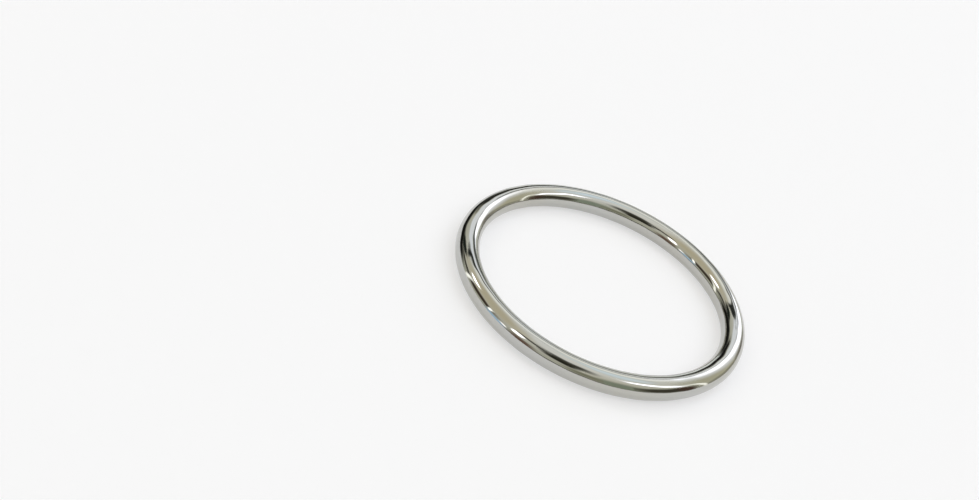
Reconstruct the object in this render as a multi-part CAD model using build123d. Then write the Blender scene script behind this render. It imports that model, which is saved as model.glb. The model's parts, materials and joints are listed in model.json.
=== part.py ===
from build123d import *
import os

# A closed round ring of solid round wire, polished and plated.
# The wire is bent to a full circle, butt welded and ground flush, so no seam or bead is left
# and the ring is one solid. It has no flats: every section through its axis is a circle.
# Frame: origin at the ring's centre, the ring flat in XY, its axis along +Z, all in millimetres.

# Driving dimensions
INNER_DIAMETER = 50.8
WIRE_DIAMETER = 4.7625

# Sizes worked out from them
wire_radius = WIRE_DIAMETER / 2
centre_line_radius = INNER_DIAMETER / 2 + wire_radius


def wire_section():
    """The wire's round section, standing on the XZ plane beside the ring's axis."""
    return Plane.XZ * Pos(centre_line_radius, 0) * Circle(wire_radius)


def ring():
    """The section turned once round the ring's axis, which closes on itself with no step."""
    return revolve(wire_section(), axis=Axis.Z, revolution_arc=360)


def write_part(name, solid):
    """Label the solid with its node's name and write it as a STEP file."""
    solid.label = name
    export_step(solid, f"parts/{name}.step")


os.makedirs("parts", exist_ok=True)
write_part("ring", ring())
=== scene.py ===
import json
from math import cos, pi, radians, sin, tan

import bmesh
import bpy
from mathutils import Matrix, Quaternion, Vector


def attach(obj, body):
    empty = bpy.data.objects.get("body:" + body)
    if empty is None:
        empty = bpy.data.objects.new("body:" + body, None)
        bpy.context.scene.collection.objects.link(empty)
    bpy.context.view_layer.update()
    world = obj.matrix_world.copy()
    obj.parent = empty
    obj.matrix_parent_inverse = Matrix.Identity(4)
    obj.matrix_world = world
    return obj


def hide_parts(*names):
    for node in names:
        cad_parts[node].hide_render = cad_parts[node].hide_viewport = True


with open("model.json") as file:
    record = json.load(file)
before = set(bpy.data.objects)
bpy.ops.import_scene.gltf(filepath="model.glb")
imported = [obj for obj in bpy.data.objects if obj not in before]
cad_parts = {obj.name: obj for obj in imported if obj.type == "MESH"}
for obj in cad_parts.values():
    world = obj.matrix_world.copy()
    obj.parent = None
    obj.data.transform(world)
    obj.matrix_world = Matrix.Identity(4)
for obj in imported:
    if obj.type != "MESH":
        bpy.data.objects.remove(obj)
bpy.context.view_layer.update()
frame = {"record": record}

# One ring of plated wire on a pale floor, in metres. Its exact sizes come from the record's mounts
MM = 0.001
MOUNTS = {mount["name"]: mount for mount in frame["record"]["mounts"]}
WIRE_RADIUS = MOUNTS["wire"]["dims"]["r_mm"] * MM
RING_RADIUS = MOUNTS["opening"]["dims"]["r_mm"] * MM + WIRE_RADIUS

# The photograph's frame and where the ring's centre lies in it, in pixels
PHOTO_WIDTH = 979
PHOTO_HEIGHT = 500
RING_CENTRE_X = 602.0
RING_CENTRE_Y = 284.9

# The camera's lens and stand, as the ring's outline in the photograph gives them, and the nearest
# and farthest distance that it sees
FOCAL_LENGTH_PX = 1350
SENSOR_WIDTH_MM = 36
CAMERA_DISTANCE = 9.553 * RING_RADIUS
CAMERA_ELEVATION = radians(34.34)
CAMERA_ROLL = radians(26.75)
CAMERA_NEAR = 0.01
CAMERA_FAR = 20

# The ring's mesh
STEPS_ROUND_RING = 480
STEPS_ROUND_WIRE = 96

# The faint unevenness that bending and polishing leave in the wire: how deep it is, and for each
# wave its turns round the ring, its turns round the wire and its phase
WAVE_DEPTH = 0.04 * MM
WAVES = (
    (9, 1, 0.4),
    (14, -2, 2.1),
    (23, 1, 4.0),
    (31, 3, 1.2),
    (38, -1, 5.3),
)

# The plating's tints, and how much of the worn tint a hairline takes
PLATING_COOL = (0.515, 0.517, 0.498, 1)
PLATING_WARM = (0.508, 0.501, 0.460, 1)
PLATING_WORN = (0.385, 0.375, 0.345, 1)
HAIRLINE_TINT = 0.5

# The plating's roughness where it is clean, and what polishing lines and haze add to it
GLOSS_ROUGHNESS = 0.03
POLISH_SPREAD = 0.03
HAZE_ROUGHNESS = 0.05

# The depth of the marks
PEEL_DEPTH = 0.0016 * MM
LINE_DEPTH = 0.0004 * MM
HAIRLINE_DEPTH = 0.001 * MM

# Marks drawn out along the wire: cells to the ring's radius, cells to the wire's, and detail
POLISH_GRAIN = (5, 34, 3.0)
HAIRLINE_GRAIN = (9, 60, 1.0)

# Marks of even grain: cells to the metre, detail and distortion
HAIRLINE_PATCHES = (110, 1.0, 0.0)
HAZE_PATCHES = (75, 4.0, 0.8)
CAST_PATCHES = (42, 2.0, 0.3)
PEEL_GRAIN = (620, 2.0, 0.0)

# The level of the noise at which a mark begins, and at which it is full
HAIRLINE_LEVELS = (0.66, 0.70)
HAIRLINE_PATCH_LEVELS = (0.5, 0.6)
HAZE_LEVELS = (0.5, 0.72)
CAST_LEVELS = (0.35, 0.65)

# The floor, which fades to white from FLOOR_FADE_START out to its edge, and the top of the white
# backdrop behind it
FLOOR_RADIUS = 1.5
FLOOR_STEPS = 96
FLOOR_TONE = (0.56, 0.56, 0.595, 1)
FLOOR_LIFT = 0.49
FLOOR_FADE_START = 0.15
BACKDROP_TOP = radians(2)
WHITE = (1, 1, 1, 1)

# The studio's walls, from the horizon at 0 to straight up at 1
WALL_TONES = (
    (0.0, (0.56, 0.58, 0.49)),
    (0.35, (0.62, 0.61, 0.51)),
    (0.75, (0.83, 0.82, 0.73)),
    (1.0, (1.04, 1.04, 1.01)),
)

# The cards stand round the ring, each a little nearer than the one before it. The higher
# CARD_CORNERS is, the squarer a card's corners are
FARTHEST_CARD = 6.0
CARD_STEP = 0.06
CARD_CORNERS = 3

# Soft boxes and flags: azimuth, elevation, roll, half width and half height in degrees, softness
# of the edge, tone
CARDS = (
    ("far_ceiling", 2, 52, 0, 22, 9, 0.8, (1.27, 1.29, 1.25)),
    ("right_wall", 52, 24, 0, 24, 20, 0.7, (0.64, 0.62, 0.47)),
    ("left_wall", -88, 54, 0, 30, 20, 0.6, (0.72, 0.66, 0.49)),
    ("blue_ceiling", 44, 70, 0, 14, 9, 0.8, (0.98, 1.13, 1.24)),
    ("green_wall", 138, 19, 0, 13, 18, 0.7, (0.30, 0.35, 0.27)),
    ("olive_wall", 162, 20, 0, 14, 10, 0.8, (0.27, 0.27, 0.19)),
    ("horizon_strip", 180, 3, 0, 70, 3, 0.8, (0.064, 0.059, 0.037)),
    ("right_low", 56, 5, 0, 20, 6, 0.8, (0.36, 0.35, 0.28)),
    ("left_shade", -102, 21, 0, 19, 9, 0.5, (0.064, 0.048, 0.032)),
    ("back_flag", 106, 16, 0, 21, 13, 0.5, (0.064, 0.059, 0.043)),
    ("brown_flag", 88, 16, 0, 6, 14, 0.6, (0.085, 0.048, 0.037)),
    ("right_slit", 75, 18, 0, 1.8, 18, 0.6, (1.81, 1.81, 1.70)),
    ("right_window", 93, 48.5, 54, 14.5, 3.9, 0.6, (4.0, 4.05, 4.5)),
    ("far_glow", 26, 30, 0, 17, 15, 0.7, (1.12, 1.14, 1.19)),
    ("far_band", 0, 22, 0, 11, 6, 0.5, (0.29, 0.30, 0.28)),
    ("far_window", 20, 28.5, -8, 9.5, 15, 0.5, (2.5, 2.55, 2.8)),
    ("pole_window", -9, 34, 0, 12, 4.5, 0.35, (1.12, 1.16, 1.22)),
    ("left_sill", -8, 5, 0, 12, 7, 0.8, (1.12, 1.17, 1.19)),
    ("far_frame", 8, 22, 0, 3.5, 10, 0.5, (0.085, 0.096, 0.085)),
    ("grey_post", 35, 5, 0, 6, 9, 0.8, (0.26, 0.24, 0.22)),
    ("left_beam", -24, 41, 0, 17, 2.4, 0.5, (0.032, 0.037, 0.032)),
    ("pole_beam", -2, 39.5, 0, 8, 1.6, 0.5, (0.053, 0.059, 0.053)),
    ("left_beam_end", -51, 27, 0, 7, 9, 0.4, (0.021, 0.027, 0.021)),
    ("left_rail", -72, 23, 0, 13, 4, 0.6, (0.053, 0.048, 0.037)),
    ("dark_stand", -15, 20, 0, 11, 7, 0.35, (0.011, 0.011, 0.011)),
    ("dark_row", -46, 9.5, 0, 28, 10.5, 0.4, (0.013, 0.013, 0.011)),
    ("left_lamp", -75, 42, 0, 4.8, 3.8, 0.4, (4.8, 4.8, 5.0)),
    ("left_slit", -86, 16, 0, 2.5, 13, 0.7, (1.92, 1.92, 1.81)),
    ("near_lamp", -140, 37.5, 0, 3.6, 7.5, 0.4, (4.2, 4.1, 4.2)),
    ("near_slit", -117, 21, 0, 2, 7, 0.7, (2.77, 2.77, 2.66)),
    ("low_lamp", -131, 13, 0, 3, 4, 0.6, (2.34, 2.24, 2.24)),
    ("blue_low", -124, 4, 0, 8, 9, 0.7, (0.53, 0.77, 1.01)),
    ("brown_low", -149, 10, 0, 9, 12, 0.7, (0.18, 0.11, 0.080)),
    ("camera_hood", 176, 58, 0, 14, 12, 0.6, (0.064, 0.064, 0.048)),
    ("camera_body", -177, 43, 0, 12, 10, 0.4, (0.032, 0.032, 0.021)),
    ("camera_strap", -148, 53, 0, 9, 5, 0.4, (0.032, 0.032, 0.021)),
)


class Tree:
    """A short way to write a node tree: each call adds one node and links or sets its inputs."""

    def __init__(self, owner):
        owner.use_nodes = True
        self.nodes = owner.node_tree.nodes
        self.links = owner.node_tree.links
        self.nodes.clear()

    def add(self, kind, *inputs, **settings):
        node = self.nodes.new("ShaderNode" + kind)
        for name, value in settings.items():
            setattr(node, name, value)
        for index, value in enumerate(inputs):
            self.put(node.inputs[index], value)
        return node

    def put(self, socket, value):
        if isinstance(value, bpy.types.NodeSocket):
            self.links.new(value, socket)
        else:
            socket.default_value = value

    def math(self, operation, *inputs):
        return self.add("Math", *inputs, operation=operation).outputs[0]

    def vector(self, operation, *inputs):
        return self.add("VectorMath", *inputs, operation=operation)

    def mix_colour(self, factor, first, second):
        node = self.add("Mix", data_type="RGBA")
        self.put(node.inputs["Factor"], factor)
        self.put(node.inputs["A"], first)
        self.put(node.inputs["B"], second)
        return node.outputs["Result"]


def between(tree, value, low, high, first=0.0, last=1.0):
    """The value's range from low to high, spread smoothly over first to last."""
    ramp = tree.add("MapRange", value, low, high, first, last, interpolation_type="SMOOTHSTEP")
    return ramp.outputs[0]


def ray_kinds(tree):
    """Whether a ray comes from the camera, and whether it is mirrored or comes through glass."""
    path = tree.add("LightPath")
    glossy = path.outputs["Is Glossy Ray"]
    through = path.outputs["Is Transmission Ray"]
    return path.outputs["Is Camera Ray"], tree.math("MAXIMUM", glossy, through)


def place_in_scene(name, data):
    """A new object of this mesh or camera, in the scene."""
    thing = bpy.data.objects.new(name, data)
    bpy.context.scene.collection.objects.link(thing)
    return thing


def wire_radius_at(around, across):
    """The wire's radius there, at most the exact one."""
    waves = [sin(turns * around + twists * across + phase) for turns, twists, phase in WAVES]
    return WIRE_RADIUS - WAVE_DEPTH * (0.5 + 0.5 * sum(waves) / len(WAVES))


def surface_point(around, across):
    """The ring's surface at an angle round the ring and an angle round the wire."""
    radius = wire_radius_at(around, across)
    reach = RING_RADIUS + radius * cos(across)
    return reach * cos(around), reach * sin(around), radius * sin(across)


def ring_mesh(name):
    """A closed tube of round section, swept once round the ring's axis and shaded smooth."""
    shape = bmesh.new()
    rows = []
    for i in range(STEPS_ROUND_RING):
        around = 2 * pi * i / STEPS_ROUND_RING
        row = []
        for j in range(STEPS_ROUND_WIRE):
            across = 2 * pi * j / STEPS_ROUND_WIRE
            row.append(shape.verts.new(surface_point(around, across)))
        rows.append(row)
    for i, row in enumerate(rows):
        after = rows[(i + 1) % STEPS_ROUND_RING]
        for j in range(STEPS_ROUND_WIRE):
            k = (j + 1) % STEPS_ROUND_WIRE
            face = shape.faces.new((row[j], after[j], after[k], row[k]))
            face.smooth = True
    mesh = bpy.data.meshes.new(name)
    shape.to_mesh(mesh)
    shape.free()
    return mesh


def ring_places(tree):
    """The point's place as the wire runs: a unit vector round the ring, and the section's two
    coordinates, each from -1 to 1."""
    place = tree.add("SeparateXYZ", tree.add("TexCoord").outputs["Object"])
    flat = tree.add("CombineXYZ", place.outputs["X"], place.outputs["Y"], 0.0).outputs[0]
    around = tree.vector("NORMALIZE", flat).outputs["Vector"]
    reach = tree.math("SUBTRACT", tree.vector("LENGTH", flat).outputs["Value"], RING_RADIUS)
    outward = tree.math("DIVIDE", reach, WIRE_RADIUS)
    upward = tree.math("DIVIDE", place.outputs["Z"], WIRE_RADIUS)
    return around, outward, upward


def wire_noise(tree, places, to_ring_radius, to_wire_radius, detail):
    """Noise drawn out along the wire, with no seam where the ring closes. The grain is in cells to
    the ring's radius and to the wire's."""
    around, outward, upward = places
    along = tree.add("SeparateXYZ", around)
    vector = tree.add(
        "CombineXYZ",
        tree.math("MULTIPLY", along.outputs["X"], to_ring_radius),
        tree.math("MULTIPLY", along.outputs["Y"], to_ring_radius),
        tree.math("MULTIPLY", outward, to_wire_radius),
    )
    noise = tree.add("TexNoise", noise_dimensions="4D")
    tree.put(noise.inputs["Vector"], vector.outputs[0])
    tree.put(noise.inputs["W"], tree.math("MULTIPLY", upward, to_wire_radius))
    noise.inputs["Scale"].default_value = 1.0
    noise.inputs["Detail"].default_value = detail
    return noise.outputs[0]


def patch_noise(tree, scale, detail, distortion):
    """Noise of even grain in every direction; the scale is in cells to the metre."""
    noise = tree.add("TexNoise", noise_dimensions="3D")
    tree.put(noise.inputs["Vector"], tree.add("TexCoord").outputs["Object"])
    noise.inputs["Scale"].default_value = scale
    noise.inputs["Detail"].default_value = detail
    noise.inputs["Distortion"].default_value = distortion
    return noise.outputs[0]


def plating_tint(tree, hairline):
    """A cool tint with a slight warm cast that comes and goes, darker where a hairline runs."""
    cast = between(tree, patch_noise(tree, *CAST_PATCHES), *CAST_LEVELS)
    tint = tree.mix_colour(cast, PLATING_COOL, PLATING_WARM)
    return tree.mix_colour(tree.math("MULTIPLY", hairline, HAIRLINE_TINT), tint, PLATING_WORN)


def plating_roughness(tree, polish, hairline):
    """A clear gloss, a little rougher along the marks and where the ring has been handled."""
    haze = between(tree, patch_noise(tree, *HAZE_PATCHES), *HAZE_LEVELS)
    rough = tree.math("MULTIPLY_ADD", polish, POLISH_SPREAD, GLOSS_ROUGHNESS)
    rough = tree.math("MULTIPLY_ADD", haze, HAZE_ROUGHNESS, rough)
    return tree.math("MULTIPLY_ADD", hairline, HAZE_ROUGHNESS, rough)


def plating_relief(tree, polish, hairline):
    """Fine peel and polishing lines, with the hairlines cut in. Heights are in metres."""
    peel = tree.math("MULTIPLY", patch_noise(tree, *PEEL_GRAIN), PEEL_DEPTH)
    lines = tree.math("MULTIPLY_ADD", polish, LINE_DEPTH, peel)
    height = tree.math("MULTIPLY_ADD", hairline, -HAIRLINE_DEPTH, lines)
    bump = tree.add("Bump")
    bump.inputs["Strength"].default_value = 1.0
    bump.inputs["Distance"].default_value = 1.0
    tree.put(bump.inputs["Height"], height)
    return bump.outputs[0]


def plated_metal():
    """Polished plating: clear reflections, with polishing lines along the wire and patches of
    hairlines."""
    material = bpy.data.materials.new("plated_wire")
    tree = Tree(material)
    places = ring_places(tree)
    polish = wire_noise(tree, places, *POLISH_GRAIN)
    hairline = between(tree, wire_noise(tree, places, *HAIRLINE_GRAIN), *HAIRLINE_LEVELS)
    patches = between(tree, patch_noise(tree, *HAIRLINE_PATCHES), *HAIRLINE_PATCH_LEVELS)
    hairline = tree.math("MULTIPLY", hairline, patches)
    shader = tree.add("BsdfPrincipled")
    shader.inputs["Metallic"].default_value = 1.0
    tree.put(shader.inputs["Base Color"], plating_tint(tree, hairline))
    tree.put(shader.inputs["Roughness"], plating_roughness(tree, polish, hairline))
    tree.put(shader.inputs["Normal"], plating_relief(tree, polish, hairline))
    tree.add("OutputMaterial", shader.outputs[0])
    return material


def add_ring():
    ring = place_in_scene("polished_ring", ring_mesh("polished_ring"))
    ring.data.materials.append(plated_metal())
    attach(ring, "root")
    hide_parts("ring")


def floor_material():
    """A pale matt floor, lifted to white for the camera and in reflections, with its shadows kept.
    Away from the ring it fades to the backdrop's white."""
    material = bpy.data.materials.new("studio_floor")
    tree = Tree(material)
    seen = tree.math("MAXIMUM", *ray_kinds(tree))
    matt = tree.add("BsdfDiffuse", FLOOR_TONE)
    lift = tree.add("Emission", (FLOOR_LIFT, FLOOR_LIFT, FLOOR_LIFT, 1), seen)
    near = tree.add("AddShader", matt.outputs[0], lift.outputs[0])
    white = tree.add("Emission", WHITE, seen)
    away = tree.vector("LENGTH", tree.add("TexCoord").outputs["Object"]).outputs["Value"]
    fade = between(tree, away, FLOOR_FADE_START, FLOOR_RADIUS)
    floor = tree.add("MixShader", fade, near.outputs[0], white.outputs[0])
    tree.add("OutputMaterial", floor.outputs[0])
    return material


def add_floor():
    shape = bmesh.new()
    bmesh.ops.create_circle(shape, cap_ends=True, segments=FLOOR_STEPS, radius=FLOOR_RADIUS)
    mesh = bpy.data.meshes.new("studio_floor")
    shape.to_mesh(mesh)
    shape.free()
    floor = place_in_scene("studio_floor", mesh)
    floor.location = (0, 0, -WIRE_RADIUS)
    floor.data.materials.append(floor_material())


def toward(azimuth, elevation):
    """The unit vector of a direction, with azimuth 0 along +Y and positive to the right of it."""
    a = radians(azimuth)
    e = radians(elevation)
    return Vector((sin(a) * cos(e), cos(a) * cos(e), sin(e)))


def card_material(name, half_width, half_height, softness, tone):
    """An even glow that fades out round the card's rounded edge."""
    material = bpy.data.materials.new(name)
    tree = Tree(material)
    place = tree.add("SeparateXYZ", tree.add("TexCoord").outputs["Object"])
    terms = []
    for axis, half in (("X", half_width), ("Y", half_height)):
        share = tree.math("ABSOLUTE", tree.math("DIVIDE", place.outputs[axis], half))
        terms.append(tree.math("POWER", share, CARD_CORNERS))
    reach = tree.math("POWER", tree.math("ADD", *terms), 1 / CARD_CORNERS)
    fade = between(tree, reach, 1 - softness, 1 + softness, 1.0, 0.0)
    clear = tree.add("BsdfTransparent")
    glow = tree.add("Emission", (*tone, 1), 1.0)
    card = tree.add("MixShader", fade, clear.outputs[0], glow.outputs[0])
    tree.add("OutputMaterial", card.outputs[0])
    return material


def add_card(index, name, azimuth, elevation, roll, half_width, half_height, softness, tone):
    """A card square on to the ring, seen in reflections but not by the camera."""
    distance = FARTHEST_CARD - index * CARD_STEP
    half_width = distance * tan(radians(half_width))
    half_height = distance * tan(radians(half_height))
    x = half_width * (1 + softness)
    y = half_height * (1 + softness)
    mesh = bpy.data.meshes.new(name)
    mesh.from_pydata([(-x, -y, 0), (x, -y, 0), (x, y, 0), (-x, y, 0)], [], [(0, 1, 2, 3)])
    card = place_in_scene(name, mesh)
    ahead = toward(azimuth, elevation)
    facing = (-ahead).to_track_quat("Z", "Y")
    card.location = ahead * distance
    card.rotation_mode = "QUATERNION"
    card.rotation_quaternion = facing @ Quaternion((0, 0, 1), radians(roll))
    card.visible_camera = False
    card.data.materials.append(card_material(name, half_width, half_height, softness, tone))


def wall_tone(tree, height):
    """The walls' tone at a height, which is the sine of the elevation."""
    ramp = tree.add("ValToRGB", height)
    stops = ramp.color_ramp.elements
    lowest, *middle, highest = WALL_TONES
    for stop, (position, tone) in zip(stops, (lowest, highest)):
        stop.position = position
        stop.color = (*tone, 1)
    for position, tone in middle:
        stops.new(position).color = (*tone, 1)
    return ramp.outputs[0]


def set_walls():
    """Soft walls, and a white backdrop that the camera sees all of, and reflections see up to its
    top edge."""
    world = bpy.data.worlds.new("studio_walls")
    tree = Tree(world)
    height = tree.add("SeparateXYZ", tree.add("TexCoord").outputs["Generated"]).outputs["Z"]
    camera_ray, mirrored = ray_kinds(tree)
    below_top = tree.math("LESS_THAN", height, sin(BACKDROP_TOP))
    seen = tree.math("MAXIMUM", camera_ray, tree.math("MULTIPLY", mirrored, below_top))
    walls = tree.add("Background", wall_tone(tree, height), 1.0)
    backdrop = tree.add("Background", WHITE, 1.0)
    both = tree.add("MixShader", seen, walls.outputs[0], backdrop.outputs[0])
    tree.add("OutputWorld", both.outputs[0])
    bpy.context.scene.world = world


def add_cards():
    for index, card in enumerate(CARDS):
        add_card(index, *card)


def add_camera():
    """The photograph's camera: level at first, then rolled, then turned until the ring's centre
    falls on its pixel."""
    data = bpy.data.cameras.new("photo_camera")
    data.sensor_width = SENSOR_WIDTH_MM
    data.lens = SENSOR_WIDTH_MM * FOCAL_LENGTH_PX / PHOTO_WIDTH
    data.clip_start = CAMERA_NEAR
    data.clip_end = CAMERA_FAR
    camera = place_in_scene("photo_camera", data)
    stand = Vector((0, -cos(CAMERA_ELEVATION), sin(CAMERA_ELEVATION))) * CAMERA_DISTANCE
    level = (-stand).to_track_quat("-Z", "Y")
    roll = Quaternion((0, 0, 1), CAMERA_ROLL)
    centre_right = RING_CENTRE_X - PHOTO_WIDTH / 2
    centre_up = PHOTO_HEIGHT / 2 - RING_CENTRE_Y
    to_centre = Vector((centre_right, centre_up, -FOCAL_LENGTH_PX)).normalized()
    turn = to_centre.rotation_difference(Vector((0, 0, -1)))
    camera.location = stand
    camera.rotation_mode = "QUATERNION"
    camera.rotation_quaternion = level @ roll @ turn
    bpy.context.scene.camera = camera


add_camera()
add_ring()
add_floor()
set_walls()
add_cards()
bpy.context.scene.view_settings.view_transform = "Standard"
